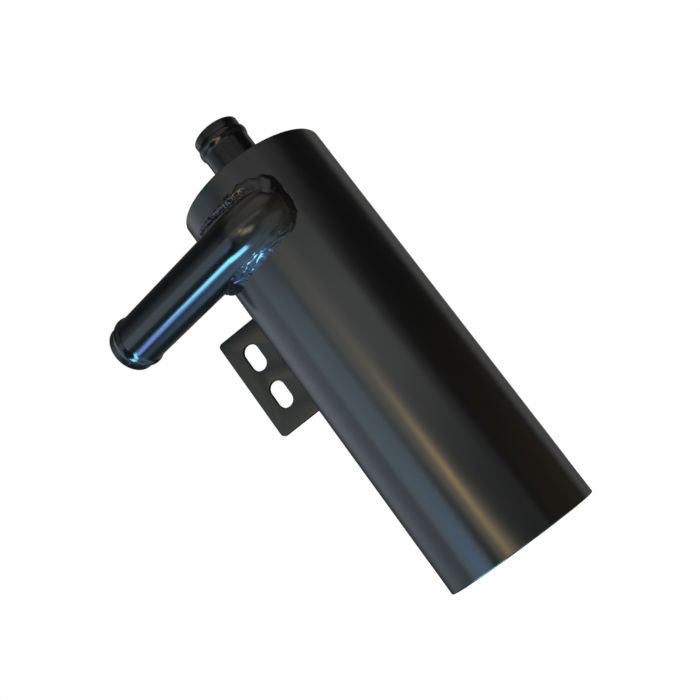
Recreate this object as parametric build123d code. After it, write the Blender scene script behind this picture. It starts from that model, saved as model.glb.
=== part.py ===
from build123d import *
import math
import os

# Oil catch can: a welded aluminium can with a central hose tail on top, a bent hose tail on its side,
# a slotted mounting plate at the back, two perforated baffles inside and a flush drain in the bottom.
# Millimetres. The origin is the centre of the bottom face. +Z runs up the can, and the mounting plate
# stands square to Y, behind the can, with its free end towards -X.

# Can body and end caps
can_diameter = 80.0
can_height = 218.5
can_wall = 2.0
cap_thickness = 3.0
cap_lip_depth = 3.0
cap_lip_width = 2.5
cap_fit_clearance = 0.1
rim_round = 0.7
seam_bevel = 1.4

# Outlet hose tail, on the can's axis
outlet_diameter = 25.5
outlet_wall = 1.5
outlet_lip_diameter = 25.2
outlet_height = 33.8
outlet_bead_from_mouth = 7.4
outlet_dip = 10.0
outlet_fit_clearance = 0.05

# Inlet hose tail, a bent tube let into the side of the can
inlet_diameter = 27.0
inlet_wall = 1.5
inlet_lip_diameter = 25.8
inlet_below_top = 30.8
inlet_offset = 39.0
inlet_reach = 98.4
inlet_bead_from_mouth = 6.2
inlet_heading = 152.3
inlet_rise = 5.0
bend_roll = 19.0
bend_radius = 20.0
heel_set = 16.5

# Rolled beads that keep the hoses on, and the rounded mouths of both tails
bead_rise = 0.9
bead_half_length = 3.8
mouth_round = 0.5

# Welds
outlet_weld_leg = 4.0
inlet_weld_radius = 4.6
joint_tolerance = 0.01
boss_weld_leg = 3.0
plate_weld_inset = 5.0
plate_weld_setback = 1.0
plate_weld_toe = 17.0
plate_weld_root = 8.0
tack_leg = 3.0
tack_angle = 12.0
tacks_per_baffle = 4

# Mounting plate
plate_thickness = 3.0
plate_height = 61.6
plate_below_top = 73.2
plate_free_reach = 74.3
plate_seat_reach = 16.0
plate_corner_round = 2.0
slot_width = 9.0
slot_length = 16.0
slot_spacing = 24.5
slot_reach = 61.3
slot_lift = 0.8

# Baffles
baffle_thickness = 1.2
baffle_flange = 8.0
baffle_wall_clearance = 0.3
baffle_edge_bend = 2.0
baffle_hole_diameter = 7.0
lower_baffle_height = 70.0
upper_baffle_below_inlet = 37.7
inner_hole_ring = 13.0
inner_hole_count = 6
outer_hole_ring = 26.0
outer_hole_count = 12

# Drain
drain_offset = 19.0
boss_diameter = 27.0
boss_fit_clearance = 0.05
thread_diameter = 12.0
thread_length = 10.0
thread_clearance = 0.05
plug_head_diameter = 18.4
plug_head_thickness = 4.0
plug_recess = 0.6
plug_head_clearance = 1.0
plug_end_chamfer = 0.8
socket_width = 8.0
socket_depth = 5.0
washer_thickness = 1.5
washer_bore_clearance = 0.3

# Values that follow from the sizes above
can_r = can_diameter / 2
can_bore_r = can_r - can_wall
outlet_r = outlet_diameter / 2
inlet_r = inlet_diameter / 2
inlet_height = can_height - inlet_below_top
plate_centre_height = can_height - plate_below_top
upper_baffle_height = inlet_height - upper_baffle_below_inlet
counterbore_r = plug_head_diameter / 2 + plug_head_clearance
counterbore_depth = plug_recess + plug_head_thickness + washer_thickness
boss_height = counterbore_depth + thread_length
plate_face = can_r

heading = math.radians(inlet_heading)
rise = math.radians(inlet_rise)
inlet_way = Vector(math.cos(rise) * math.cos(heading), math.cos(rise) * math.sin(heading), math.sin(rise))
roll = math.radians(bend_roll)
inward = Vector(math.sin(heading), -math.cos(heading), 0)
turn_way = inward * math.cos(roll) + inward.cross(inlet_way) * math.sin(roll)
inlet_foot = Vector(0, 0, inlet_height) - inward * inlet_offset
bend_start = inlet_foot + inlet_way * (bend_radius - heel_set)
bend_centre = bend_start + turn_way * bend_radius
bend_axis = Axis(bend_centre, turn_way.cross(inlet_way))


def turned(outline):
    """Solid of revolution about Z from a closed outline of (radius, height) points."""
    return revolve(Plane.XZ * make_face(Polyline(*outline, close=True)), axis=Axis.Z)


def body_tube():
    """Straight tube, bevelled at both ends for the seams and opened where the inlet meets it."""
    low = cap_thickness
    high = can_height - cap_thickness
    tube = turned([
        (can_bore_r, low),
        (can_r - seam_bevel, low),
        (can_r, low + seam_bevel),
        (can_r, high - seam_bevel),
        (can_r - seam_bevel, high),
        (can_bore_r, high),
    ])
    return tube - bent_rod(inlet_r - inlet_wall)


def plain_cap():
    """End cap as the bottom one: a disc with a locating lip, bevelled for the seam."""
    lip_r = can_bore_r - cap_fit_clearance
    outline = (
        Polyline(
            (0, cap_thickness),
            (lip_r - cap_lip_width, cap_thickness),
            (lip_r - cap_lip_width, cap_thickness + cap_lip_depth),
            (lip_r, cap_thickness + cap_lip_depth),
            (lip_r, cap_thickness),
            (can_r - seam_bevel, cap_thickness),
            (can_r, cap_thickness - seam_bevel),
            (can_r, rim_round),
        )
        + RadiusArc((can_r, rim_round), (can_r - rim_round, 0), rim_round)
        + Polyline((can_r - rim_round, 0), (0, 0), (0, cap_thickness))
    )
    return revolve(Plane.XZ * make_face(outline), axis=Axis.Z)


def bottom_cap():
    hole = Cylinder(boss_diameter / 2 + boss_fit_clearance, 4 * cap_thickness)
    return plain_cap() - Pos(0, -drain_offset, 0) * hole


def top_cap():
    hole = Cylinder(outlet_r + outlet_fit_clearance, 4 * cap_thickness)
    return Pos(0, 0, can_height) * Rot(180, 0, 0) * (plain_cap() - hole)


def seam_weld(height):
    """Weld that fills the bevels between cap and tube, ground flush."""
    return turned([
        (can_r - seam_bevel, height),
        (can_r, height - seam_bevel),
        (can_r, height + seam_bevel),
    ])


def swell(start, end):
    """Two tangent arcs that leave one radius and settle at another."""
    middle = ((start[0] + end[0]) / 2, (start[1] + end[1]) / 2)
    first = TangentArc(start, middle, tangent=(0, 1))
    return first + TangentArc(middle, end, tangent=first % 1)


def beaded_tube(outer_r, wall, lip_r, start, end, bead_from_mouth):
    """Tube along Z with a rolled bead near its far end, a slimmer lip beyond it and a rounded mouth."""
    bore_r = outer_r - wall
    bead = end - bead_from_mouth
    bead_low = bead - bead_half_length
    bead_high = bead + bead_half_length
    mouth_r = (lip_r + bore_r) / 2
    outline = (
        Line((bore_r, start), (outer_r, start))
        + Line((outer_r, start), (outer_r, bead_low))
        + swell((outer_r, bead_low), (outer_r + bead_rise, bead))
        + swell((outer_r + bead_rise, bead), (lip_r, bead_high))
        + Line((lip_r, bead_high), (lip_r, end - mouth_round))
        + ThreePointArc((lip_r, end - mouth_round), (mouth_r, end), (bore_r, end - mouth_round))
        + Line((bore_r, end - mouth_round), (bore_r, bead_high))
        + swell((bore_r, bead_low), (bore_r + bead_rise, bead))
        + swell((bore_r + bead_rise, bead), (bore_r, bead_high))
        + Line((bore_r, bead_low), (bore_r, start))
    )
    return revolve(Plane.XZ * make_face(outline), axis=Axis.Z)


def outlet_stub():
    start = can_height - cap_thickness - outlet_dip
    end = can_height + outlet_height
    return beaded_tube(outlet_r, outlet_wall, outlet_lip_diameter / 2, start, end, outlet_bead_from_mouth)


def outlet_weld():
    return turned([
        (outlet_r, can_height),
        (outlet_r + outlet_weld_leg, can_height),
        (outlet_r + outlet_weld_leg * 0.4, can_height + outlet_weld_leg * 0.4),
        (outlet_r, can_height + outlet_weld_leg),
    ])


def bent_rod(radius):
    """Solid rod along the inlet's straight run and round its bend into the can."""
    section = Plane(origin=bend_start, z_dir=inlet_way) * Circle(radius)
    return extrude(section, amount=inlet_reach) + revolve(section, axis=bend_axis, revolution_arc=90)


def can_core(radius):
    return Cylinder(radius, can_height, align=(Align.CENTER, Align.CENTER, Align.MIN))


def inlet_elbow():
    """Bent tube, coped to sit on the outside of the can."""
    run_start = bend_radius - heel_set
    lip_r = inlet_lip_diameter / 2
    run = beaded_tube(inlet_r, inlet_wall, lip_r, run_start, inlet_reach, inlet_bead_from_mouth)
    section = Plane(origin=bend_start, z_dir=inlet_way) * (Circle(inlet_r) - Circle(inlet_r - inlet_wall))
    bend = revolve(section, axis=bend_axis, revolution_arc=90)
    return Location(Plane(origin=inlet_foot, z_dir=inlet_way)) * run + bend - can_core(can_r)


def on_joint(edge):
    """True for an edge of the coped joint, which lies on the can's side between its two caps."""
    points = edge.positions([0, 0.2, 0.4, 0.6, 0.8])
    on_side = all(abs(math.hypot(point.X, point.Y) - can_r) < joint_tolerance for point in points)
    return on_side and all(cap_thickness < point.Z < can_height - cap_thickness for point in points)


def inlet_weld():
    """Fillet that a ball would roll round the coped joint, slim at the heel and wide where the tube leaves."""
    tube = bent_rod(inlet_r)
    joined = can_core(can_r) + tube
    return fillet(joined.edges().filter_by(on_joint), inlet_weld_radius) - can_core(can_r) - tube


def mounting_bracket():
    """Flat plate behind the can, with two slots one above the other."""
    width = plate_free_reach + plate_seat_reach
    centre = (plate_seat_reach - plate_free_reach) / 2
    outline = Pos(centre, 0) * RectangleRounded(width, plate_height, plate_corner_round)
    slot = Rot(0, 0, 90) * SlotOverall(slot_length, slot_width)
    slots = Pos(-slot_reach, slot_lift) * GridLocations(0, slot_spacing, 1, 2) * slot
    front = Plane(origin=(0, plate_face, plate_centre_height), x_dir=(1, 0, 0), z_dir=(0, -1, 0))
    return extrude(front * (outline - slots), amount=-plate_thickness)


def plate_weld(side):
    """Weld in the wedge between the plate and the can, on the side that side gives as -1 or 1."""
    reach = plate_seat_reach - plate_weld_setback
    toe, middle, root = [
        (x, math.sqrt(can_r**2 - x**2))
        for x in (plate_weld_toe, (plate_weld_toe + plate_weld_root) / 2, plate_weld_root)
    ]
    section = make_face(
        Polyline(root, (plate_weld_root, plate_face), (reach, plate_face), toe)
        + ThreePointArc(toe, middle, root)
    )
    length = plate_height - 2 * plate_weld_inset
    weld = Pos(0, 0, plate_centre_height - length / 2) * extrude(section, amount=length)
    return weld if side > 0 else mirror(weld, about=Plane.YZ)


def baffle(height):
    """Pressed disc with a turned-down flange and rings of holes."""
    outer_r = can_bore_r - baffle_wall_clearance
    skirt = height - baffle_flange
    disc = turned([
        (0, height),
        (outer_r - baffle_edge_bend, height),
        (outer_r, height - baffle_edge_bend),
        (outer_r, skirt),
        (outer_r - baffle_thickness, skirt),
        (outer_r - baffle_thickness, height - baffle_edge_bend),
        (outer_r - baffle_edge_bend, height - baffle_thickness),
        (0, height - baffle_thickness),
    ])
    hole = Cylinder(baffle_hole_diameter / 2, 4 * baffle_thickness)
    holes = [hole]
    holes += [place * hole for place in PolarLocations(inner_hole_ring, inner_hole_count)]
    holes += [place * hole for place in PolarLocations(outer_hole_ring, outer_hole_count)]
    return disc - [Pos(0, 0, height) * one for one in holes]


def baffle_tack_welds():
    """Short fillets under both flanges, which hold the baffles to the can."""
    tacks = []
    for height in (lower_baffle_height, upper_baffle_height):
        skirt = height - baffle_flange
        section = make_face(Polyline(
            (can_bore_r - baffle_wall_clearance - baffle_thickness, skirt),
            (can_bore_r, skirt),
            (can_bore_r, skirt - tack_leg),
            close=True,
        ))
        tack = revolve(Plane.XZ * section, axis=Axis.Z, revolution_arc=tack_angle)
        tacks += [Rot(0, 0, 360 * turn / tacks_per_baffle) * tack for turn in range(tacks_per_baffle)]
    return Compound(children=tacks)


def drain_boss():
    """Turned boss through the bottom cap: a recess for the plug's head and washer, then the thread."""
    outer_r = boss_diameter / 2
    thread_r = thread_diameter / 2 + thread_clearance
    boss = turned([
        (thread_r, counterbore_depth),
        (counterbore_r, counterbore_depth),
        (counterbore_r, 0),
        (outer_r, 0),
        (outer_r, boss_height - plug_end_chamfer),
        (outer_r - plug_end_chamfer, boss_height),
        (thread_r, boss_height),
    ])
    return Pos(0, -drain_offset, 0) * boss


def drain_boss_weld():
    outer_r = boss_diameter / 2
    ring = turned([
        (outer_r, cap_thickness),
        (outer_r + boss_weld_leg, cap_thickness),
        (outer_r, cap_thickness + boss_weld_leg),
    ])
    return Pos(0, -drain_offset, 0) * ring


def sealing_washer():
    low = plug_recess + plug_head_thickness
    bore_r = thread_diameter / 2 + washer_bore_clearance
    ring = turned([
        (bore_r, low),
        (plug_head_diameter / 2, low),
        (plug_head_diameter / 2, low + washer_thickness),
        (bore_r, low + washer_thickness),
    ])
    return Pos(0, -drain_offset, 0) * ring


def drain_plug():
    """Plug with a hexagon socket, its head sunk in the boss so that the can stands flat."""
    seat = plug_recess + plug_head_thickness
    tip = boss_height
    head_r = plug_head_diameter / 2
    shank_r = thread_diameter / 2
    plug = turned([
        (0, plug_recess),
        (head_r - rim_round, plug_recess),
        (head_r, plug_recess + rim_round),
        (head_r, seat),
        (shank_r, seat),
        (shank_r, tip - plug_end_chamfer),
        (shank_r - plug_end_chamfer, tip),
        (0, tip),
    ])
    hexagon = RegularPolygon(socket_width / 2, 6, major_radius=False)
    socket = Pos(0, 0, plug_recess) * extrude(hexagon, amount=socket_depth)
    return Pos(0, -drain_offset, 0) * (plug - socket)


parts = {
    "body_tube": body_tube(),
    "bottom_cap": bottom_cap(),
    "top_cap": top_cap(),
    "bottom_seam_weld": seam_weld(cap_thickness),
    "top_seam_weld": seam_weld(can_height - cap_thickness),
    "outlet_stub": outlet_stub(),
    "outlet_weld": outlet_weld(),
    "inlet_elbow": inlet_elbow(),
    "inlet_weld": inlet_weld(),
    "mounting_bracket": mounting_bracket(),
    "bracket_weld_free_side": plate_weld(-1),
    "bracket_weld_seat_side": plate_weld(1),
    "lower_baffle": baffle(lower_baffle_height),
    "upper_baffle": baffle(upper_baffle_height),
    "baffle_tack_welds": baffle_tack_welds(),
    "drain_boss": drain_boss(),
    "drain_boss_weld": drain_boss_weld(),
    "sealing_washer": sealing_washer(),
    "drain_plug": drain_plug(),
}

os.makedirs("parts", exist_ok=True)
for name, shape in parts.items():
    export_step(shape, f"parts/{name}.step")
    print(name, "solids", len(shape.solids()), "volume", round(shape.volume, 1))
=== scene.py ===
import bpy
import bmesh
import math
from mathutils import Matrix, Vector, noise


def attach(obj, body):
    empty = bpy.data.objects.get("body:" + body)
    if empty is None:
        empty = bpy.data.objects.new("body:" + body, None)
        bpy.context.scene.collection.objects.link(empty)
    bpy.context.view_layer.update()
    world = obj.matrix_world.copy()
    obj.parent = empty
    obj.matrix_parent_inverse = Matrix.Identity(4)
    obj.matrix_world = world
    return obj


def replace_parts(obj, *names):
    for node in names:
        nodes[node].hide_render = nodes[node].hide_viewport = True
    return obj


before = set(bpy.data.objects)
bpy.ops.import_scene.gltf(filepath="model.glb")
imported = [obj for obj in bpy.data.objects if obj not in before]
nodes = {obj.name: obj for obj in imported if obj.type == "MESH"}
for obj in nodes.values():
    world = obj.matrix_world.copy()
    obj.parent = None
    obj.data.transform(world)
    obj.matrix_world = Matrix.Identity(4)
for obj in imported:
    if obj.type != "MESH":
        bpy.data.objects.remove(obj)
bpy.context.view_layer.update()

camera = {
    "place": (0.06972, -0.49609, 0.02109),
    "right": (0.774146, 0.243343, -0.584365),  # the way to the right in the picture
    "down": (-0.613171, 0.058980, -0.787745),
    "lens": 54.45,
    "sensor": 36.0,
    "shift": (-0.5 / 700, 0.5 / 700),
    "nearest": 0.01,
}


def placeCamera(setting):
    data = bpy.data.cameras.new("camera")
    data.lens = setting["lens"]
    data.sensor_width = setting["sensor"]
    data.shift_x, data.shift_y = setting["shift"]
    data.clip_start = setting["nearest"]
    made = bpy.data.objects.new("camera", data)
    bpy.context.scene.collection.objects.link(made)
    x = Vector(setting["right"]).normalized()
    y = -Vector(setting["down"]).normalized()
    z = x.cross(y).normalized()
    y = z.cross(x)
    turn = Matrix((x, y, z)).transposed().to_4x4()
    made.matrix_world = Matrix.Translation(setting["place"]) @ turn
    bpy.context.scene.camera = made


placeCamera(camera)
bpy.context.scene.view_settings.view_transform = "Standard"
print("camera set")


# short ways to add and join shader nodes
def addNode(tree, kind, **values):
    node = tree.nodes.new(kind)
    for name, value in values.items():
        setattr(node, name, value)
    return node


def plug(tree, source, target):
    tree.links.new(source, target)


def maths(tree, operation, *inputs, clamp=False):
    node = addNode(tree, "ShaderNodeMath", operation=operation, use_clamp=clamp)
    for slot, value in zip(node.inputs, inputs):
        if isinstance(value, (int, float)):
            slot.default_value = value
        else:
            plug(tree, value, slot)
    return node.outputs[0]


def newGroup(name, inputs, outputs):
    group = bpy.data.node_groups.new(name, "ShaderNodeTree")
    for title, kind, value in inputs:
        socket = group.interface.new_socket(title, in_out="INPUT", socket_type=kind)
        if value is not None:
            socket.default_value = value
    for title, kind in outputs:
        group.interface.new_socket(title, in_out="OUTPUT", socket_type=kind)
    start = addNode(group, "NodeGroupInput")
    end = addNode(group, "NodeGroupOutput")
    return group, start, end


# soft panels painted over each other on the world: the later ones cover the earlier ones
studio = {
    "room": (0.06, 0.06, 0.06),
    # azimuth and elevation of the middle, half width, half height, softness, all in degrees, then the light
    "panels": [
        ("highGrey", -82, 46, 54, 24, 10, (0.62, 0.64, 0.63)),
        ("elbowHigh", -52, 44, 34, 18, 10, (0.95, 0.97, 0.93)),
        ("elbowLow", -28, -35, 30, 18, 12, (1.0, 0.97, 0.88)),
        ("leftHigh", 158, 26, 14, 6, 6, (0.6, 0.6, 0.62)),
        ("top", 0, 88, 180, 16, 12, (0.4, 0.41, 0.42)),
        ("leftCool", 178, 12, 38, 18, 20, (0.88, 1.0, 1.12)),
        ("frontLow", -78, -9, 38, 12, 8, (0.27, 0.28, 0.27)),
        ("frontGrey", -78, 12.5, 29, 6.8, 6.5, (1.38, 1.41, 1.38)),
        ("frontSide", -44, 6, 4, 18, 8, (0.45, 0.45, 0.44)),
        ("frontBright", -110, 11.5, 17, 9, 8, (1.65, 1.7, 1.62)),
        ("leftBright", -148.5, 5, 19, 13, 4, (1.4, 1.8, 2.05)),
        ("leftBlue", -146, -7, 10, 6, 6, (1.4, 2.5, 4.4)),
        ("warmLow", 0, -8, 30, 12, 8, (0.24, 0.19, 0.12)),
        ("sideBack", 75, 6, 36, 30, 8, (0.16, 0.16, 0.16)),
        ("rightBack", 51, 6, 10, 26, 8, (0.33, 0.33, 0.32)),
        ("tanSide", -113, 1, 5, 5, 4, (2.1, 2.0, 1.5)),
        ("tanLamp", -104, 2, 3.5, 4.5, 3.5, (9.0, 6.2, 3.0)),
        ("floorBlue", 180, -85, 180, 35, 12, (0.95, 1.4, 1.85)),
        ("lowRight", -20, -58, 50, 12, 12, (0.7, 0.76, 0.76)),
        ("lowLeft", 165, -55, 30, 12, 10, (1.3, 2.2, 3.6)),
    ],
    # bands along a line between two directions, then half height, softness and the light
    "bands": [
        ("tanTail", (-103, -7), (-80, -22), 6.5, 7.5, (6.8, 5.9, 4.0)),
        ("windowFringe", (181, -29), (-116, -63), 9.6, 3.6, (1.8, 2.8, 8.0)),
        ("windowViolet", (168, -31.5), (185, -32.3), 2.8, 2.2, (4.4, 6.2, 17.0)),
        ("windowEnd", (184.8, -31.8), (192, -33.6), 4.1, 1.8, (10.0, 32.0, 40.0)),
        ("window", (188, -33.6), (233, -57), 7.0, 2.4, (10.0, 32.0, 40.0)),
    ],
}


def compass(azimuth, elevation):
    a, e = math.radians(azimuth), math.radians(elevation)
    return Vector((math.cos(e) * math.cos(a), math.cos(e) * math.sin(a), math.sin(e)))


def vectorMaths(tree, operation, first, second):
    node = addNode(tree, "ShaderNodeVectorMath", operation=operation)
    plug(tree, first, node.inputs[0])
    plug(tree, second, node.inputs[1])
    return node.outputs["Value"]


def panelGroup():
    group, start, end = newGroup(
        "studioPanel",
        [
            ("Light", "NodeSocketColor", None),
            ("Direction", "NodeSocketVector", None),
            ("Facing", "NodeSocketVector", None),
            ("Side", "NodeSocketVector", None),
            ("Up", "NodeSocketVector", None),
            ("Lift", "NodeSocketFloat", 0.0),
            ("Half Width", "NodeSocketFloat", 0.5),
            ("Half Height", "NodeSocketFloat", 0.5),
            ("Softness", "NodeSocketFloat", 0.1),
            ("Colour", "NodeSocketColor", None),
        ],
        [("Light", "NodeSocketColor")],
    )
    along, across, upward = [
        vectorMaths(group, "DOT_PRODUCT", start.outputs["Direction"], start.outputs[way])
        for way in ("Facing", "Side", "Up")
    ]
    lifted = maths(group, "ARCSINE", upward)
    soft = start.outputs["Softness"]
    masks = []
    for off, half in (
        (maths(group, "ARCTAN2", across, along), start.outputs["Half Width"]),
        (maths(group, "SUBTRACT", lifted, start.outputs["Lift"]), start.outputs["Half Height"]),
    ):
        ramp = addNode(group, "ShaderNodeMapRange", interpolation_type="SMOOTHSTEP")
        plug(group, maths(group, "ABSOLUTE", off), ramp.inputs["Value"])
        plug(group, maths(group, "ADD", half, soft), ramp.inputs["From Min"])
        plug(group, maths(group, "SUBTRACT", half, soft), ramp.inputs["From Max"])
        masks.append(ramp.outputs["Result"])
    cover = addNode(group, "ShaderNodeMix", data_type="RGBA")
    plug(group, maths(group, "MULTIPLY", *masks), cover.inputs["Factor"])
    plug(group, start.outputs["Light"], cover.inputs["A"])
    plug(group, start.outputs["Colour"], cover.inputs["B"])
    plug(group, cover.outputs["Result"], end.inputs["Light"])
    return group


def buildWorld(setting):
    world = bpy.data.worlds.new("studio")
    bpy.context.scene.world = world
    world.use_nodes = True
    tree = world.node_tree
    tree.nodes.clear()
    where = addNode(tree, "ShaderNodeTexCoord")
    group = panelGroup()
    frames = []
    for name, azimuth, lift, halfWide, halfTall, soft, colour in setting["panels"]:
        ways = compass(azimuth, 0), compass(azimuth + 90, 0), Vector((0, 0, 1))
        frames.append((name, ways, (lift, halfWide, halfTall, soft), colour))
    for name, first, last, halfTall, soft, colour in setting["bands"]:
        first, last = compass(*first), compass(*last)
        facing = (first + last).normalized()
        up = first.cross(last).normalized()
        halfWide = math.degrees(first.angle(last)) / 2
        frames.append((name, (facing, up.cross(facing), up), (0, halfWide, halfTall, soft), colour))
    light = None
    for name, ways, angles, colour in frames:
        panel = addNode(tree, "ShaderNodeGroup", node_tree=group, name=name, label=name)
        plug(tree, where.outputs["Generated"], panel.inputs["Direction"])
        for title, value in zip(("Facing", "Side", "Up"), ways):
            panel.inputs[title].default_value = value
        for title, value in zip(("Lift", "Half Width", "Half Height", "Softness"), angles):
            panel.inputs[title].default_value = math.radians(value)
        panel.inputs["Colour"].default_value = (*colour, 1)
        if light is None:
            panel.inputs["Light"].default_value = (*setting["room"], 1)
        else:
            plug(tree, light, panel.inputs["Light"])
        light = panel.outputs["Light"]
    seen = addNode(tree, "ShaderNodeBackground")
    seen.inputs["Color"].default_value = (1, 1, 1, 1)
    cast = addNode(tree, "ShaderNodeBackground")
    plug(tree, light, cast.inputs["Color"])
    path = addNode(tree, "ShaderNodeLightPath")
    mix = addNode(tree, "ShaderNodeMixShader")
    plug(tree, path.outputs["Is Camera Ray"], mix.inputs[0])
    plug(tree, cast.outputs[0], mix.inputs[1])
    plug(tree, seen.outputs[0], mix.inputs[2])
    out = addNode(tree, "ShaderNodeOutputWorld")
    plug(tree, mix.outputs[0], out.inputs[0])


buildWorld(studio)

floorSetting = {"size": 6.0, "colour": (0.9, 0.9, 0.9, 1), "glow": 0.84, "below": 0.0001}


def buildFloor(setting):
    half = setting["size"] / 2
    mesh = bpy.data.meshes.new("floor")
    corners = [(-half, -half, 0), (half, -half, 0), (half, half, 0), (-half, half, 0)]
    mesh.from_pydata(corners, [], [(0, 1, 2, 3)])
    floor = bpy.data.objects.new("floor", mesh)
    bpy.context.scene.collection.objects.link(floor)
    floor.location.z = -setting["below"]
    floor.visible_glossy = False
    floor.visible_shadow = False
    material = bpy.data.materials.new("paleFloor")
    material.use_nodes = True
    tree = material.node_tree
    tree.nodes.clear()
    diffuse = addNode(tree, "ShaderNodeBsdfDiffuse")
    diffuse.inputs["Color"].default_value = setting["colour"]
    glow = addNode(tree, "ShaderNodeEmission")
    path = addNode(tree, "ShaderNodeLightPath")
    plug(tree, maths(tree, "MULTIPLY", path.outputs["Is Camera Ray"], setting["glow"]), glow.inputs["Strength"])
    both = addNode(tree, "ShaderNodeAddShader")
    plug(tree, diffuse.outputs[0], both.inputs[0])
    plug(tree, glow.outputs[0], both.inputs[1])
    # from underneath the floor is clear, so that the drain can be looked at
    clear = addNode(tree, "ShaderNodeBsdfTransparent")
    side = addNode(tree, "ShaderNodeNewGeometry")
    oneSided = addNode(tree, "ShaderNodeMixShader")
    plug(tree, side.outputs["Backfacing"], oneSided.inputs[0])
    plug(tree, both.outputs[0], oneSided.inputs[1])
    plug(tree, clear.outputs[0], oneSided.inputs[2])
    out = addNode(tree, "ShaderNodeOutputMaterial")
    plug(tree, oneSided.outputs[0], out.inputs["Surface"])
    mesh.materials.append(material)


buildFloor(floorSetting)
print("floor and studio set")


def blendValues(tree, kind, factor, first, second):
    node = addNode(tree, "ShaderNodeMix", data_type=kind)
    for title, value in (("Factor", factor), ("A", first), ("B", second)):
        socket = [s for s in node.inputs if s.name == title and s.enabled][0]
        if isinstance(value, (int, float, tuple)):
            socket.default_value = (*value, 1) if isinstance(value, tuple) else value
        else:
            plug(tree, value, socket)
    return [s for s in node.outputs if s.enabled][0]


def noiseNode(tree, where, size, detail):
    node = addNode(tree, "ShaderNodeTexNoise")
    node.inputs["Scale"].default_value = 1 / size
    node.inputs["Detail"].default_value = detail
    plug(tree, where, node.inputs["Vector"])
    return node.outputs["Fac"]


# the clouds' size is in metres, the fine grain's a share of the peel's, and a speck's radius a share of its cell
coatGrain = {
    "fineSize": 0.22,
    "fineHeight": 0.35,
    "cloudSize": 0.018,
    "cloudShare": 0.35,
    "specksPerMetre": 260,
    "speckRadius": 0.07,
    "dustLight": (6, 0.01),  # a speck is the paint's colour times this and plus this
}


def paintGroup(setting):
    group, start, end = newGroup(
        "sprayedPaint",
        [
            ("Peel Size", "NodeSocketFloat", 1.0),
            ("Speck Share", "NodeSocketFloat", 0.3),
            ("Gloss", "NodeSocketFloat", 0.2),
        ],
        [("Height", "NodeSocketFloat"), ("Roughness", "NodeSocketFloat"), ("Dust", "NodeSocketFloat")],
    )
    where = addNode(group, "ShaderNodeTexCoord").outputs["Object"]
    scaled = addNode(group, "ShaderNodeVectorMath", operation="SCALE")
    plug(group, where, scaled.inputs[0])
    plug(group, maths(group, "DIVIDE", 1000.0, start.outputs["Peel Size"]), scaled.inputs["Scale"])
    peel = noiseNode(group, scaled.outputs[0], 1.0, 1.0)
    fine = noiseNode(group, scaled.outputs[0], setting["fineSize"], 1.0)
    cloud = noiseNode(group, where, setting["cloudSize"], 3.0)
    height = maths(group, "ADD", peel, maths(group, "MULTIPLY", fine, setting["fineHeight"]))
    plug(group, height, end.inputs["Height"])
    speck = addNode(group, "ShaderNodeTexVoronoi", feature="F1")
    speck.inputs["Scale"].default_value = setting["specksPerMetre"]
    plug(group, where, speck.inputs["Vector"])
    chosen = addNode(group, "ShaderNodeSeparateColor")
    plug(group, speck.outputs["Color"], chosen.inputs[0])
    near = maths(group, "LESS_THAN", speck.outputs["Distance"], setting["speckRadius"])
    kept = maths(group, "LESS_THAN", chosen.outputs[0], start.outputs["Speck Share"])
    plug(group, maths(group, "MULTIPLY", near, kept), end.inputs["Dust"])
    uneven = maths(group, "MULTIPLY", maths(group, "SUBTRACT", cloud, 0.5), setting["cloudShare"])
    rough = maths(group, "MULTIPLY", start.outputs["Gloss"], maths(group, "ADD", 1.0, uneven))
    plug(group, rough, end.inputs["Roughness"])
    return group


bareGrain = {
    "drawn": 0.08,  # the grain runs along the height
    "cloudSize": 0.012,
    "dull": (0.5, 0.5, 0.51),
    "bright": (0.68, 0.68, 0.69),
    "roughChange": 0.3,
}


def bareGroup(setting):
    group, start, end = newGroup(
        "millAluminium",
        [("Grain Size", "NodeSocketFloat", 1.0), ("Roughness", "NodeSocketFloat", 0.35)],
        [("Colour", "NodeSocketColor"), ("Roughness", "NodeSocketFloat"), ("Height", "NodeSocketFloat")],
    )
    where = addNode(group, "ShaderNodeTexCoord").outputs["Object"]
    stretch = addNode(group, "ShaderNodeMapping")
    stretch.inputs["Scale"].default_value = (1, 1, setting["drawn"])
    plug(group, where, stretch.inputs["Vector"])
    scaled = addNode(group, "ShaderNodeVectorMath", operation="SCALE")
    plug(group, stretch.outputs[0], scaled.inputs[0])
    plug(group, maths(group, "DIVIDE", 1000.0, start.outputs["Grain Size"]), scaled.inputs["Scale"])
    grain = noiseNode(group, scaled.outputs[0], 1.0, 3.0)
    cloud = noiseNode(group, where, setting["cloudSize"], 3.0)
    plug(group, blendValues(group, "RGBA", cloud, setting["dull"], setting["bright"]), end.inputs["Colour"])
    change = maths(group, "MULTIPLY", maths(group, "SUBTRACT", grain, 0.5), setting["roughChange"])
    plug(group, maths(group, "ADD", start.outputs["Roughness"], change), end.inputs["Roughness"])
    plug(group, grain, end.inputs["Height"])
    return group


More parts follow.
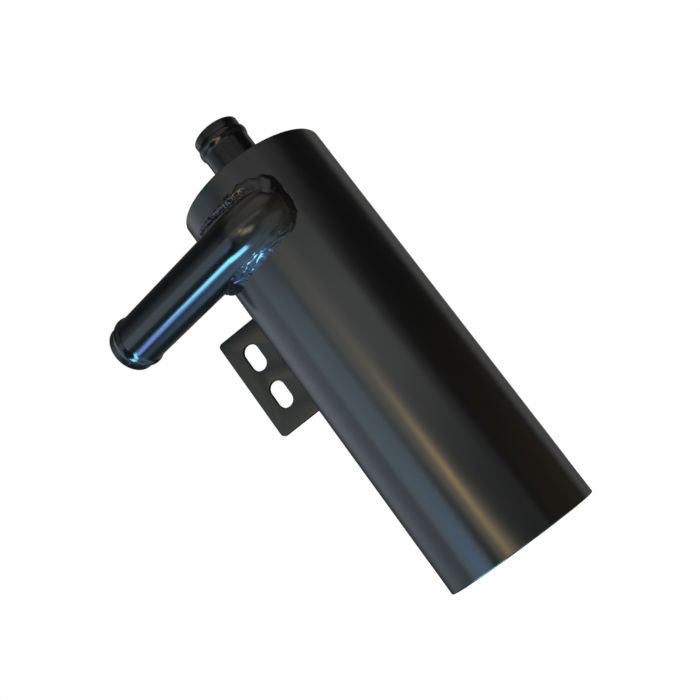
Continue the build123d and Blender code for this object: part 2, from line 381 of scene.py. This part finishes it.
def nearWallGroup():
    group, start, end = newGroup(
        "distanceFromAxis",
        [("Radius", "NodeSocketFloat", 0.0388), ("Low", "NodeSocketFloat", 0.0), ("High", "NodeSocketFloat", 0.3)],
        [("Inside", "NodeSocketFloat")],
    )
    where = addNode(group, "ShaderNodeTexCoord").outputs["Object"]
    parts = addNode(group, "ShaderNodeSeparateXYZ")
    plug(group, where, parts.inputs[0])
    squares = [maths(group, "POWER", parts.outputs[k], 2.0) for k in (0, 1)]
    across = maths(group, "SQRT", maths(group, "ADD", *squares))
    within = maths(group, "LESS_THAN", across, start.outputs["Radius"])
    above = maths(group, "GREATER_THAN", parts.outputs[2], start.outputs["Low"])
    below = maths(group, "LESS_THAN", parts.outputs[2], start.outputs["High"])
    plug(group, maths(group, "MULTIPLY", within, maths(group, "MULTIPLY", above, below)), end.inputs["Inside"])
    return group


# a lighter, brownish patch painted over the heel of the inlet's bend: painted sheen
heelPaintedSheen = {
    "middle": (-0.003, -0.043, 0.186),
    "fullWithin": 0.008,
    "noneBeyond": 0.019,
    "colour": (0.017, 0.0145, 0.012),
    "cloudSize": 0.006,
    "cloudReach": 0.012,
}


# the mask of the painted sheen: full near the heel's middle, fading out beyond with a cloudy edge
def heelSheenGroup(setting):
    group, start, end = newGroup(
        "paintedHeelSheen",
        [
            ("Centre", "NodeSocketVector", None),
            ("Near", "NodeSocketFloat", 0.01),
            ("Far", "NodeSocketFloat", 0.02),
        ],
        [("Mask", "NodeSocketFloat")],
    )
    where = addNode(group, "ShaderNodeTexCoord").outputs["Object"]
    away = vectorMaths(group, "DISTANCE", where, start.outputs["Centre"])
    cloud = noiseNode(group, where, setting["cloudSize"], 3.0)
    uneven = maths(group, "MULTIPLY", maths(group, "SUBTRACT", cloud, 0.5), setting["cloudReach"])
    fade = addNode(group, "ShaderNodeMapRange", interpolation_type="SMOOTHSTEP")
    plug(group, maths(group, "ADD", away, uneven), fade.inputs["Value"])
    plug(group, start.outputs["Far"], fade.inputs["From Min"])
    plug(group, start.outputs["Near"], fade.inputs["From Max"])
    plug(group, fade.outputs["Result"], end.inputs["Mask"])
    return group


heelSheenShades = heelSheenGroup(heelPaintedSheen)
paintShades = paintGroup(coatGrain)
bareShades = bareGroup(bareGrain)
wallShades = nearWallGroup()

finishes = {
    # paint colour, gloss, peel size in mm, peel height in mm, share of specks, strength of the reflection
    "satinBlack": ((0.0025, 0.0026, 0.0028), 0.2, 1.1, 0.0022, 0.05, 0.5),
    "glossBlack": ((0.0025, 0.0026, 0.0028), 0.13, 0.8, 0.002, 0.08, 0.3),
    "weldBlack": ((0.0025, 0.0026, 0.0028), 0.13, 0.7, 0.003, 0.1, 0.38),
    "mattBlack": ((0.0225, 0.0185, 0.0165), 0.27, 0.6, 0.003, 0.06, 0.18),
    # darker and barely reflecting: painted shade for the plate's edges and slot walls
    "edgeShadeBlack": ((0.003, 0.003, 0.003), 0.4, 0.6, 0.003, 0.06, 0.04),
}
bareInside = {
    # radius under which, and heights between which, the metal is bare
    "body_tube": (0.0388, 0.002, 0.2165),
    "bottom_cap": (0.0388, 0.0025, 0.05),
    "top_cap": (0.0388, 0.2, 0.2160),
}


def addBump(tree, height, distance, shader):
    bump = addNode(tree, "ShaderNodeBump")
    bump.inputs["Strength"].default_value = 1.0
    bump.inputs["Distance"].default_value = distance
    plug(tree, height, bump.inputs["Height"])
    plug(tree, bump.outputs[0], shader.inputs["Normal"])


def paint(name, setting, inside=None, paintedSheen=None):
    colour, gloss, peelSize, peelHeight, share, strength = setting
    material = bpy.data.materials.new(name)
    material.use_nodes = True
    tree = material.node_tree
    shader = tree.nodes["Principled BSDF"]
    shader.inputs["Specular IOR Level"].default_value = strength
    coat = addNode(tree, "ShaderNodeGroup", node_tree=paintShades)
    coat.inputs["Peel Size"].default_value = peelSize
    coat.inputs["Speck Share"].default_value = share
    coat.inputs["Gloss"].default_value = gloss
    times, plus = coatGrain["dustLight"]
    dusty = tuple(c * times + plus for c in colour)
    tint = blendValues(tree, "RGBA", coat.outputs["Dust"], colour, dusty)
    # painted sheen: over the heel of the bend the colour turns lighter and brownish
    if paintedSheen:
        paintedSheenMask = addNode(tree, "ShaderNodeGroup", node_tree=heelSheenShades)
        for title, part in (("Centre", "middle"), ("Near", "fullWithin"), ("Far", "noneBeyond")):
            paintedSheenMask.inputs[title].default_value = paintedSheen[part]
        tint = blendValues(tree, "RGBA", paintedSheenMask.outputs["Mask"], tint, paintedSheen["colour"])
    rough = coat.outputs["Roughness"]
    if inside:
        wall = addNode(tree, "ShaderNodeGroup", node_tree=wallShades)
        for title, value in zip(("Radius", "Low", "High"), inside):
            wall.inputs[title].default_value = value
        bare = addNode(tree, "ShaderNodeGroup", node_tree=bareShades)
        mask = wall.outputs["Inside"]
        tint = blendValues(tree, "RGBA", mask, tint, bare.outputs["Colour"])
        rough = blendValues(tree, "FLOAT", mask, rough, bare.outputs["Roughness"])
        plug(tree, mask, shader.inputs["Metallic"])
    plug(tree, tint, shader.inputs["Base Color"])
    plug(tree, rough, shader.inputs["Roughness"])
    addBump(tree, coat.outputs["Height"], peelHeight / 1000, shader)
    return material


def metal(name, colour, roughness, grain, height):
    material = bpy.data.materials.new(name)
    material.use_nodes = True
    tree = material.node_tree
    shader = tree.nodes["Principled BSDF"]
    shader.inputs["Metallic"].default_value = 1.0
    bare = addNode(tree, "ShaderNodeGroup", node_tree=bareShades)
    bare.inputs["Grain Size"].default_value = grain
    bare.inputs["Roughness"].default_value = roughness
    shade = addNode(tree, "ShaderNodeMix", data_type="RGBA", blend_type="MULTIPLY")
    shade.inputs["Factor"].default_value = 1.0
    plug(tree, bare.outputs["Colour"], shade.inputs["A"])
    shade.inputs["B"].default_value = (*colour, 1)
    plug(tree, shade.outputs["Result"], shader.inputs["Base Color"])
    plug(tree, bare.outputs["Roughness"], shader.inputs["Roughness"])
    addBump(tree, bare.outputs["Height"], height / 1000, shader)
    return material


satin = paint("satinBlack", finishes["satinBlack"])
# the tube's and the weld's coats carry the painted sheen over the heel
gloss = paint("glossBlack", finishes["glossBlack"], paintedSheen=heelPaintedSheen)
weldPaint = paint("weldBlack", finishes["weldBlack"], paintedSheen=heelPaintedSheen)
matt = paint("mattBlack", finishes["mattBlack"])
# edge is the painted shade on the plate's edges and slot walls
edge = paint("edgeShadeBlack", finishes["edgeShadeBlack"])
# tint, roughness, grain size in mm, grain height in mm
bareMetal = metal("bareAluminium", (1.0, 1.0, 1.0), 0.35, 1.0, 0.004)
washerMetal = metal("washerMetal", (1.05, 1.05, 1.06), 0.25, 0.6, 0.003)
plugSteel = metal("plugSteel", (0.1, 0.1, 0.11), 0.32, 0.5, 0.003)
slotFinish = {
    "satin_black": satin,
    "gloss_black": gloss,
    "weld_black": weldPaint,
    "matt_black": matt,
    "bare_aluminium": bareMetal,
    "washer_metal": washerMetal,
    "plug_steel": plugSteel,
}
for name, node in nodes.items():
    slots = node.data.materials
    if name in bareInside:
        slots[0] = paint(name + "Paint", finishes["satinBlack"], bareInside[name])
    else:
        slots[0] = slotFinish[slots[0].name]
print("finishes set")


can = {"radius": 0.040, "height": 0.2185}
tube = {
    "radius": 0.0135,
    "bendRadius": 0.015,
    "belowTop": 0.0308,
    "offset": 0.039,
    "heading": 152.3,
    "rise": 5.0,
    "roll": 19.0,
    "heelSet": 0.0165,
    "mouth": 0.0981,
    "wall": 0.0015,
    "lipRadius": 0.0133,
    "beadFromMouth": 0.0076,
    "beadHalf": 0.0037,
    "beadRise": 0.0011,
    "mouthRound": 0.0005,
    "around": 160,
    "beadSteps": 16,
    "wallSteps": 40,
    "mouthSteps": 8,
    "sunk": 0.0008,
    "sharp": 50,
}
# where the tube's wall enters the can is looked for along the tube, then halved down
entrySearch = {"from": 0.06, "to": -0.03, "step": 0.001, "halvings": 20}


# the tube's own directions, and where its bend starts and turns round
def tubeFrame(setting):
    way = compass(setting["heading"], setting["rise"])
    heading, roll = math.radians(setting["heading"]), math.radians(setting["roll"])
    inward = Vector((math.sin(heading), -math.cos(heading), 0))
    turn = inward * math.cos(roll) + inward.cross(way) * math.sin(roll)
    foot = Vector((0, 0, can["height"] - setting["belowTop"])) - inward * setting["offset"]
    start = foot + way * (setting["bendRadius"] - setting["heelSet"])
    return way, turn, way.cross(turn), start, start + turn * setting["bendRadius"]


tubeWay, tubeTurn, tubeThird, bendStart, bendCentre = tubeFrame(tube)


# a place on the tube: angle round it, length along it with the bend below zero, and radius
def onTube(angle, along, radius):
    outside, third = math.cos(angle), math.sin(angle)
    if along >= 0:
        return bendStart + tubeWay * along + (tubeThird * third - tubeTurn * outside) * radius
    bend = -along / tube["bendRadius"]
    outward = -tubeTurn * math.cos(bend) - tubeWay * math.sin(bend)
    return bendCentre + outward * (tube["bendRadius"] + radius * outside) + tubeThird * radius * third


# the other way round: angle and length of a point in space
def tubePlace(point):
    off = point - bendStart
    along = off.dot(tubeWay)
    if along >= 0:
        return math.atan2(off.dot(tubeThird), -off.dot(tubeTurn)), along
    off = point - bendCentre
    third = off.dot(tubeThird)
    flat = off - tubeThird * third
    bend = math.atan2(-flat.dot(tubeWay), -flat.dot(tubeTurn))
    return math.atan2(third, flat.length - tube["bendRadius"]), -bend * tube["bendRadius"]


def ontoTube(point, sink=0.0):
    angle, along = tubePlace(point)
    return onTube(angle, along, tube["radius"] - sink)


def ontoCan(point, sink=0.0):
    flat = Vector((point.x, point.y))
    flat = flat * ((can["radius"] - sink) / flat.length)
    return Vector((flat.x, flat.y, point.z))


# the line where the tube's outside meets the can
def copedJoint(step=2):
    return [
        (degree, onTube(math.radians(degree), entryAt(math.radians(degree), tube["radius"]), tube["radius"]))
        for degree in range(180, 540, step)
    ]


# points at even lengths along a line of (angle, point) pairs, and the line's whole length
def evenly(points, count, closed):
    if closed:
        points = points + [(points[0][0] + 360, points[0][1])]
    lengths = [0.0]
    for (_, first), (_, second) in zip(points, points[1:]):
        lengths.append(lengths[-1] + (second - first).length)
    stations = []
    spot = 0
    for i in range(count):
        want = lengths[-1] * i / (count if closed else count - 1)
        while spot < len(lengths) - 2 and lengths[spot + 1] < want:
            spot += 1
        share = (want - lengths[spot]) / (lengths[spot + 1] - lengths[spot])
        first, second = points[spot], points[spot + 1]
        stations.append((first[0] + (second[0] - first[0]) * share, first[1].lerp(second[1], share)))
    return stations, lengths[-1]


# a column of a table between two of its rows, blended smoothly
def tableValue(table, key, column):
    for first, second in zip(table, table[1:]):
        if first[0] <= key <= second[0]:
            share = (key - first[0]) / (second[0] - first[0])
            share = share * share * (3 - 2 * share)
            return first[column] + (second[column] - first[column]) * share
    return table[-1][column]


# marks that every bead has: lengths in metres along it, and the rest as shares of its width or of a ripple
beadMarks = {
    "wanderLength": 0.006,
    "wanderAcross": 1.5,
    "rippleSize": (0.4, 1.8),  # the smallest ripple, and how much larger others get
    "rippleFullness": 2.2,
    "driftLength": 0.014,
    "drift": 0.5,
    "jitterLength": 0.0042,
    "jitter": 0.14,
    "creaseLength": 0.005,
    "creaseWidth": (0.05, 0.2),
    "creaseOpen": 0.2,
    "raggedLengths": (0.0016, 0.005),
    "raggedShare": 0.4,
    "raggedNearToe": 6,
}
# how deep the bead's edges and its middle lie under what it joins
beadRoot = {"toe": 0.00005, "edge": 0.0004, "middle": 0.0006}


# the odd factors and the numbers added to the seed only keep the noises apart
def rippleHeight(along, across, ripple, fold, setting):
    marks = beadMarks
    seed = setting["seed"]
    middle = 1 - (2 * across - 1) ** 2
    slowAlong, slowAcross = along / marks["wanderLength"], across * marks["wanderAcross"]
    wander = noise.noise(Vector((slowAlong, slowAcross, seed))) * setting["wander"]
    count = (along + wander - setting["bow"] * middle) / setting["pitch"]
    whole = math.floor(count)
    smallest, larger = marks["rippleSize"]
    size = smallest + larger * abs(noise.noise(Vector((whole * 0.73, seed, 2.5))))
    bump = 1 - abs(2 * (count - whole) - 1) ** marks["rippleFullness"]
    thin, wider = marks["creaseWidth"]
    crease = 0
    for k, place in enumerate(setting.get("creases", ())):
        drift = marks["drift"] * noise.noise(Vector((along / marks["driftLength"], 7.3 * k, seed + 9)))
        jitter = marks["jitter"] * noise.noise(Vector((along / marks["jitterLength"], 4.1 * k, seed + 7)))
        opened = noise.noise(Vector((along / marks["creaseLength"], 2.9 * k, seed + 8))) + marks["creaseOpen"]
        width = thin + wider * max(0, opened)
        crease = min(crease, -math.exp(-(((across - place - drift - jitter) / width) ** 2)))
    lump = noise.noise(Vector((slowAlong, slowAcross, seed + 5)))
    folds = setting["fold"] * crease + setting["lump"] * lump
    return ripple * setting["height"] * size * (bump - 0.5) + fold * folds


def raggedEdge(along, side, fold, setting):
    fine, coarse = beadMarks["raggedLengths"]
    rough = noise.noise(Vector((along / fine, side * 5.1, setting["seed"])))
    slow = noise.noise(Vector((along / coarse, side * 3.7, setting["seed"] + 4)))
    return setting["ragged"] * (beadMarks["raggedShare"] + fold) * (rough + slow)


# each section of a bead: its joint, its outer and inner toe, how hollow its face runs out at the inner toe and at
# the outer one, share of ripples, share of folds
def addBead(name, sections, length, setting, fitOuter, fitInner, closed=True):
    across = setting["across"]
    nearToe = beadMarks["raggedNearToe"]
    rows = []
    for i, (joint, outer, inner, slackOuter, slackInner, ripple, fold) in enumerate(sections):
        along = length * i / len(sections)
        toOuter, toInner = outer - joint, inner - joint
        raggedOuter = raggedEdge(along, 0, fold, setting) / toOuter.length
        raggedInner = raggedEdge(along, 1, fold, setting) / toInner.length
        toOuter, toInner = fitOuter(outer) - joint, fitInner(inner) - joint
        reach = (toOuter.length + toInner.length) / 2
        row = []
        for k in range(across + 1):
            turn = math.pi / 2 * k / across
            swell = rippleHeight(along, k / across, ripple, fold, setting)
            grow = 1 + swell * max(0.0, math.sin(2 * turn)) ** 0.5 / reach
            onOuter = max(0.0, math.cos(turn)) ** slackOuter
            onInner = max(0.0, math.sin(turn)) ** slackInner
            onOuter *= grow + raggedOuter * onOuter ** nearToe
            onInner *= grow + raggedInner * onInner ** nearToe
            row.append(joint + toOuter * onOuter + toInner * onInner)
        row[0] = fitOuter(row[0], beadRoot["toe"])
        row[-1] = fitInner(row[-1], beadRoot["toe"])
        row.append(fitInner(row[-1], beadRoot["edge"]))
        row.append(joint - (toOuter + toInner).normalized() * beadRoot["middle"])
        row.append(fitOuter(row[0], beadRoot["edge"]))
        rows.append(row)
    return addLoft(name, rows, closed, weldPaint)


def addLoft(name, rows, closed, material, sharp=None, body="can"):
    mesh = bpy.data.meshes.new(name)
    shape = bmesh.new()
    made = [[shape.verts.new(point) for point in row] for row in rows]
    wide = len(made[0])
    for first, second in zip(made, made[1:] + ([made[0]] if closed else [])):
        for k in range(wide):
            n = (k + 1) % wide
            shape.faces.new((first[k], first[n], second[n], second[k]))
    if not closed:
        shape.faces.new(made[0])
        shape.faces.new(list(reversed(made[-1])))
    bmesh.ops.recalc_face_normals(shape, faces=shape.faces)
    for face in shape.faces:
        face.smooth = True
    shape.to_mesh(mesh)
    shape.free()
    piece = bpy.data.objects.new(name, mesh)
    bpy.context.scene.collection.objects.link(piece)
    mesh.materials.append(material)
    if sharp:
        mesh.set_sharp_from_angle(angle=math.radians(sharp))
    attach(piece, body)
    return piece


def tubeRows(setting, entry):
    # places along and across the wall, from the can to the mouth outside and back inside
    mouth = setting["mouth"] - (setting["bendRadius"] - setting["heelSet"])
    bead, half = mouth - setting["beadFromMouth"], setting["beadHalf"]
    lip, soft = setting["lipRadius"], setting["mouthRound"]
    inside = setting["radius"] - setting["wall"]
    swell = []
    for k in range(setting["beadSteps"] + 1):
        height = bead - half + 2 * half * k / setting["beadSteps"]
        swell.append((height, setting["beadRise"] * (0.5 + 0.5 * math.cos(math.pi * (height - bead) / half))))
    steps = setting["wallSteps"]
    wall = [entry * (1 - k / steps) + (bead - half) * k / steps for k in range(steps)]
    row = [(height, setting["radius"]) for height in wall]
    for height, rise in swell:
        ease = min(1.0, max(0.0, (height - bead) / half))
        base = setting["radius"] + (lip - setting["radius"]) * ease * ease * (3 - 2 * ease)
        row.append((height, base + rise))
    middle = (lip + inside) / 2
    row.append((mouth - soft, lip))
    for k in range(1, setting["mouthSteps"]):
        turn = math.pi * k / setting["mouthSteps"]
        row.append((mouth - soft + soft * math.sin(turn), middle + (lip - middle) * math.cos(turn)))
    row.append((mouth - soft, inside))
    row += [(height, inside + rise) for height, rise in reversed(swell)]
    row += [(height, inside) for height in reversed(wall)]
    return row


def entryAt(angle, radius):
    along, step = entrySearch["from"], entrySearch["step"]
    while along > entrySearch["to"] and math.hypot(*onTube(angle, along, radius).xy) > can["radius"]:
        along -= step
    low, high = along, along + step
    for _ in range(entrySearch["halvings"]):
        middle = (low + high) / 2
        if math.hypot(*onTube(angle, middle, radius).xy) < can["radius"]:
            low = middle
        else:
            high = middle
    return high


def addInletTube(setting):
    count = setting["around"]
    rows = []
    for i in range(count):
        angle = 2 * math.pi * i / count
        entry = entryAt(angle, setting["radius"]) - setting["sunk"]
        rows.append([onTube(angle, height, radius) for height, radius in tubeRows(setting, entry)])
    return addLoft("inletTube", rows, True, gloss, sharp=setting["sharp"])


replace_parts(addInletTube(tube), "inlet_elbow")
print("inlet tube bent")


inletBead = {
    "stations": 760,
    "across": 30,
    "straighten": 90,  # the joint's direction is read over one part in this many of its length
    "pitch": 0.0040,
    "bow": 0.0020,
    "wander": 0.0030,
    "height": 0.0006,
    "fold": 0.0012,
    "lump": 0.0003,
    "creases": (0.2, 0.45, 0.7),  # where they lie across the bead, from the can to the tube
    "ragged": 0.0006,
    "seed": 3.3,
    # angle round the tube in degrees, widths on the can and on the tube, how hollow the face runs out on the tube
    # and on the can, share of ripples, share of folds
    "shape": [
        (180, 0.0040, 0.0040, 1.2, 1.2, 0.3, 0.3),
        (230, 0.0042, 0.0030, 0.9, 0.9, 0.0, 1.2),
        (245, 0.0046, 0.0028, 0.8, 0.8, 0.0, 1.6),
        (262, 0.0056, 0.0028, 0.8, 0.8, 0.0, 1.6),
        (276, 0.0058, 0.0030, 1.2, 0.9, 0.0, 1.2),
        (288, 0.0054, 0.0036, 2.4, 1.2, 0.0, 0.4),
        (300, 0.0044, 0.0050, 3.0, 1.1, 0.0, 0.15),
        (310, 0.0052, 0.0070, 3.0, 0.9, 0.0, 0.15),
        (320, 0.0046, 0.0074, 3.0, 0.7, 0.0, 0.15),
        (335, 0.0022, 0.0068, 3.0, 0.7, 0.0, 0.15),
        (350, 0.0005, 0.0056, 2.8, 0.75, 0.0, 0.15),
        (363, 0.0009, 0.0046, 2.8, 0.85, 0.0, 0.15),
        (376, 0.0024, 0.0040, 2.8, 1.0, 0.0, 0.15),
        (387, 0.0044, 0.0036, 2.4, 1.2, 0.05, 0.3),
        (400, 0.0056, 0.0034, 1.8, 1.4, 0.15, 0.2),
        (416, 0.0032, 0.0046, 1.9, 1.7, 0.2, 0.15),
        (426, 0.0032, 0.0056, 2.0, 1.9, 0.1, 0.15),
        (436, 0.0046, 0.0056, 1.9, 1.7, 0.0, 0.1),
        (450, 0.0042, 0.0050, 1.6, 1.5, 0.15, 0.15),
        (480, 0.0040, 0.0044, 1.3, 1.3, 0.3, 0.3),
        (540, 0.0040, 0.0040, 1.2, 1.2, 0.3, 0.3),
    ],
}


def addInletBead(setting):
    count = setting["stations"]
    stations, length = evenly(copedJoint(), count, True)
    middle = sum((point for _, point in stations), Vector()) / count
    reach = max(1, count // setting["straighten"])
    sections = []
    for i, (degree, joint) in enumerate(stations):
        tangent = (stations[(i + reach) % count][1] - stations[i - reach][1]).normalized()
        canNormal = Vector((joint.x, joint.y, 0)).normalized()
        tubeNormal = (joint - ontoTube(joint, 0.001)).normalized()
        outerWay = canNormal.cross(tangent).normalized()
        if outerWay.dot(joint - middle) < 0:
            outerWay.negate()
        innerWay = tubeNormal.cross(tangent).normalized()
        if innerWay.dot(canNormal) < 0:
            innerWay.negate()
        onCan, onTubeWall, *rest = [tableValue(setting["shape"], degree, column) for column in range(1, 7)]
        sections.append((joint, joint + outerWay * onCan, joint + innerWay * onTubeWall, *rest))
    return addBead("inletWeld", sections, length, setting, ontoCan, ontoTube)


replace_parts(addInletBead(inletBead), "inlet_weld")
print("inlet weld laid")


outletBead = {
    "radius": 0.01275,
    "leg": 0.004,
    "face": (1.5, 1.5, 0.5, 0.3),  # how hollow it runs out on both sides, share of ripples, share of folds
    "stations": 300,
    "across": 14,
    "pitch": 0.0026,
    "bow": 0.001,
    "wander": 0.001,
    "height": 0.0003,
    "fold": 0.0001,
    "lump": 0.0002,
    "ragged": 0.0002,
    "seed": 7.1,
}


def ontoTop(point, sink=0.0):
    return Vector((point.x, point.y, can["height"] - sink))


def ontoStub(point, sink=0.0):
    flat = Vector((point.x, point.y))
    flat = flat * ((outletBead["radius"] - sink) / flat.length)
    return Vector((flat.x, flat.y, point.z))


def addOutletBead(setting):
    sections = []
    for i in range(setting["stations"]):
        outward = compass(360 * i / setting["stations"], 0)
        joint = outward * setting["radius"] + Vector((0, 0, can["height"]))
        outer, inner = joint + outward * setting["leg"], joint + Vector((0, 0, setting["leg"]))
        sections.append((joint, outer, inner, *setting["face"]))
    return addBead("outletWeld", sections, 2 * math.pi * setting["radius"], setting, ontoTop, ontoStub)


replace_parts(addOutletBead(outletBead), "outlet_weld")
print("outlet weld laid")


plate = {
    "left": -0.0743,
    "right": 0.016,
    "front": 0.040,
    "thickness": 0.003,
    "middle": 0.1453,
    "height": 0.0616,
    "corner": 0.0024,
    "cornerSteps": 12,
    "bevel": 0.00035,
    "bevelSteps": 3,
    "flatAbove": 0.999,  # faces that look this much forwards or back stay unsmoothed
    "paintedShadeBelow": 0.9,  # and faces that look less than this, the plate's edges and slot walls, get the darker coat as painted shade
    "sharp": 40,
    "slotX": -0.0613,
    "slotZ": (0.1461 - 0.01225, 0.1461 + 0.01225),
    "slotRadius": 0.0045,
    "slotLength": 0.016,
}
plateBead = {
    "root": 0.008,
    "rootSunk": 0.0004,
    "onPlate": 0.015,
    "onCan": (0.017, 0.0362),
    "length": 0.0516,
    "taper": 0.005,
    "endSize": 0.35,
    "face": (1.55, 1.55, 0.6, 0.4),
    "stations": 160,
    "across": 14,
    "pitch": 0.003,
    "bow": 0.001,
    "wander": 0.001,
    "height": 0.0003,
    "fold": 0.0001,
    "lump": 0.0003,
    "ragged": 0.0003,
    "seed": 11.7,
}


def roundedLoop(centreX, centreZ, halfWide, halfTall, radius, steps):
    points = []
    for corner, (sideX, sideZ) in enumerate(((1, 1), (-1, 1), (-1, -1), (1, -1))):
        for k in range(steps + 1):
            turn = math.pi / 2 * (corner + k / steps)
            x = centreX + sideX * (halfWide - radius) + radius * math.cos(turn)
            points.append((x, centreZ + sideZ * (halfTall - radius) + radius * math.sin(turn)))
    return points


def addPlate(setting):
    curve = bpy.data.curves.new("plateOutline", "CURVE")
    curve.dimensions = "2D"
    curve.fill_mode = "BOTH"
    curve.extrude = setting["thickness"] / 2 - setting["bevel"]
    curve.bevel_depth = setting["bevel"]
    curve.bevel_resolution = setting["bevelSteps"]
    curve.offset = -setting["bevel"]
    middleX = (setting["left"] + setting["right"]) / 2
    halfWide, halfTall = (setting["right"] - setting["left"]) / 2, setting["height"] / 2
    radius, steps = setting["slotRadius"], setting["cornerSteps"]
    loops = [roundedLoop(middleX, setting["middle"], halfWide, halfTall, setting["corner"], steps)]
    for z in setting["slotZ"]:
        loops.append(roundedLoop(setting["slotX"], z, radius, setting["slotLength"] / 2, radius, steps))
    for loop in loops:
        # a point that falls on the one before is left out
        apart = [p for p, q in zip(loop, loop[-1:] + loop[:-1]) if math.dist(p, q) > 1e-7]
        spline = curve.splines.new("POLY")
        spline.points.add(len(apart) - 1)
        spline.use_cyclic_u = True
        for spot, (x, z) in zip(spline.points, apart):
            spot.co = (x, z, 0, 1)
    drawn = bpy.data.objects.new("plateOutline", curve)
    bpy.context.scene.collection.objects.link(drawn)
    bpy.context.view_layer.update()
    seen = drawn.evaluated_get(bpy.context.evaluated_depsgraph_get())
    mesh = bpy.data.meshes.new_from_object(seen)
    bpy.data.objects.remove(drawn)
    bpy.data.curves.remove(curve)
    middleY = setting["front"] + setting["thickness"] / 2
    mesh.transform(Matrix(((1, 0, 0, 0), (0, 0, -1, middleY), (0, 1, 0, 0), (0, 0, 0, 1))))
    mesh.materials.clear()
    mesh.materials.append(matt)
    mesh.materials.append(edge)
    shape = bmesh.new()
    shape.from_mesh(mesh)
    bmesh.ops.remove_doubles(shape, verts=shape.verts, dist=1e-6)
    bmesh.ops.recalc_face_normals(shape, faces=shape.faces)
    for face in shape.faces:
        face.smooth = abs(face.normal.y) < setting["flatAbove"]
        # the edges and slot walls take the second material, which is painted shade
        face.material_index = int(abs(face.normal.y) < setting["paintedShadeBelow"])
    shape.to_mesh(mesh)
    shape.free()
    mesh.name = "mountingPlate"
    mesh.set_sharp_from_angle(angle=math.radians(setting["sharp"]))
    piece = bpy.data.objects.new("mountingPlate", mesh)
    bpy.context.scene.collection.objects.link(piece)
    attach(piece, "can")
    return piece


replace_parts(addPlate(plate), "mounting_bracket")


def ontoPlate(point, sink=0.0):
    return Vector((point.x, plate["front"] + sink, point.z))


def addPlateBead(title, side, setting):
    sections = []
    count = setting["stations"]
    for i in range(count):
        z = plate["middle"] + setting["length"] * (i / (count - 1) - 0.5)
        fromEnd = min(i, count - 1 - i) * setting["length"] / (count - 1)
        size = setting["endSize"] + (1 - setting["endSize"]) * min(1.0, fromEnd / setting["taper"]) ** 0.5
        joint = Vector((side * setting["root"], plate["front"] - setting["rootSunk"], z))
        x, y = setting["onCan"]
        outer = ontoCan(Vector((side * x, y, z)))
        inner = Vector((side * setting["onPlate"], plate["front"], z))
        sections.append((joint, joint.lerp(outer, size), joint.lerp(inner, size), *setting["face"]))
    return addBead(title, sections, setting["length"], setting, ontoCan, ontoPlate, closed=False)


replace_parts(addPlateBead("plateWeldFree", -1, plateBead), "bracket_weld_free_side")
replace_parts(addPlateBead("plateWeldSeat", 1, plateBead), "bracket_weld_seat_side")
print("mounting plate and its welds made")


drain = {
    "place": (0.0, -0.019),
    "segments": 96,
    "underside": 0.0006,
    "headTop": 0.0046,
    "headRadius": 0.0092,
    "headEdge": 0.0003,
    "rim": 0.0007,
    "rimSteps": 6,
    "shankRadius": 0.006,
    "neck": 0.0006,
    "neckWider": 0.0001,
    "threadDepth": 0.0008,
    "threadFlank": 1.15,
    "runOut": (0.0012, 0.001),  # where the thread starts, and over what length it gets its full depth
    "pitch": 0.0015,
    "threadRows": 12,
    "end": 0.0161,
    "chamfer": 0.0008,
    "flat": 0.004,
    "socketDeep": 0.005,
    "socketMouth": 0.0050,
    "socketSlope": 0.7,
    "drill": (0.0026, 0.0007),  # radius and depth of the drill's cone under the socket
    "tip": 0.00002,
    "sharp": 28,
}


def threadRadius(setting, angle, height):
    turns = (height - setting["headTop"]) / setting["pitch"] - angle / (2 * math.pi)
    valley = abs(2 * (turns - math.floor(turns)) - 1)
    begin, length = setting["runOut"]
    runOut = min(1.0, max(0.0, (height - setting["headTop"] - begin) / length))
    radius = setting["shankRadius"] - setting["threadDepth"] * runOut * min(1.0, valley * setting["threadFlank"])
    return min(radius, setting["shankRadius"] - setting["chamfer"] + (setting["end"] - height))


def addDrainPlug(setting):
    rows = []
    under, top, wide, rim = [setting[name] for name in ("underside", "headTop", "headRadius", "rim")]
    end, edge, tip = [setting[name] for name in ("end", "headEdge", "tip")]
    floor = under + setting["socketDeep"]
    drillRadius, drillDeep = setting["drill"]
    neck = top + setting["neck"]
    rowStep = setting["pitch"] / setting["threadRows"]
    heights = [neck + rowStep * k for k in range(round((end - neck) / rowStep))] + [end]
    for i in range(setting["segments"]):
        angle = 2 * math.pi * i / setting["segments"]
        side = angle % (math.pi / 3) - math.pi / 6
        hexagon = setting["flat"] / math.cos(side)
        outline = [(tip, floor + drillDeep), (drillRadius, floor), (hexagon, floor)]
        outline.append((hexagon, under + (setting["socketMouth"] - hexagon) * setting["socketSlope"]))
        outline.append((setting["socketMouth"], under))
        for k in range(setting["rimSteps"] + 1):
            turn = math.pi / 2 * k / setting["rimSteps"]
            outline.append((wide - rim + rim * math.sin(turn), under + rim - rim * math.cos(turn)))
        outline += [(wide, top - edge), (wide - edge, top)]
        outline.append((setting["shankRadius"] + setting["neckWider"], top))
        outline += [(threadRadius(setting, angle, height), height) for height in heights]
        outline.append((tip, end))
        way = compass(math.degrees(angle), 0)
        middle = Vector((*setting["place"], 0))
        rows.append([middle + way * radius + Vector((0, 0, height)) for radius, height in outline])
    return addLoft("drainPlug", rows, True, plugSteel, sharp=setting["sharp"], body="plug")


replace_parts(addDrainPlug(drain), "drain_plug")
print("drain plug cut")
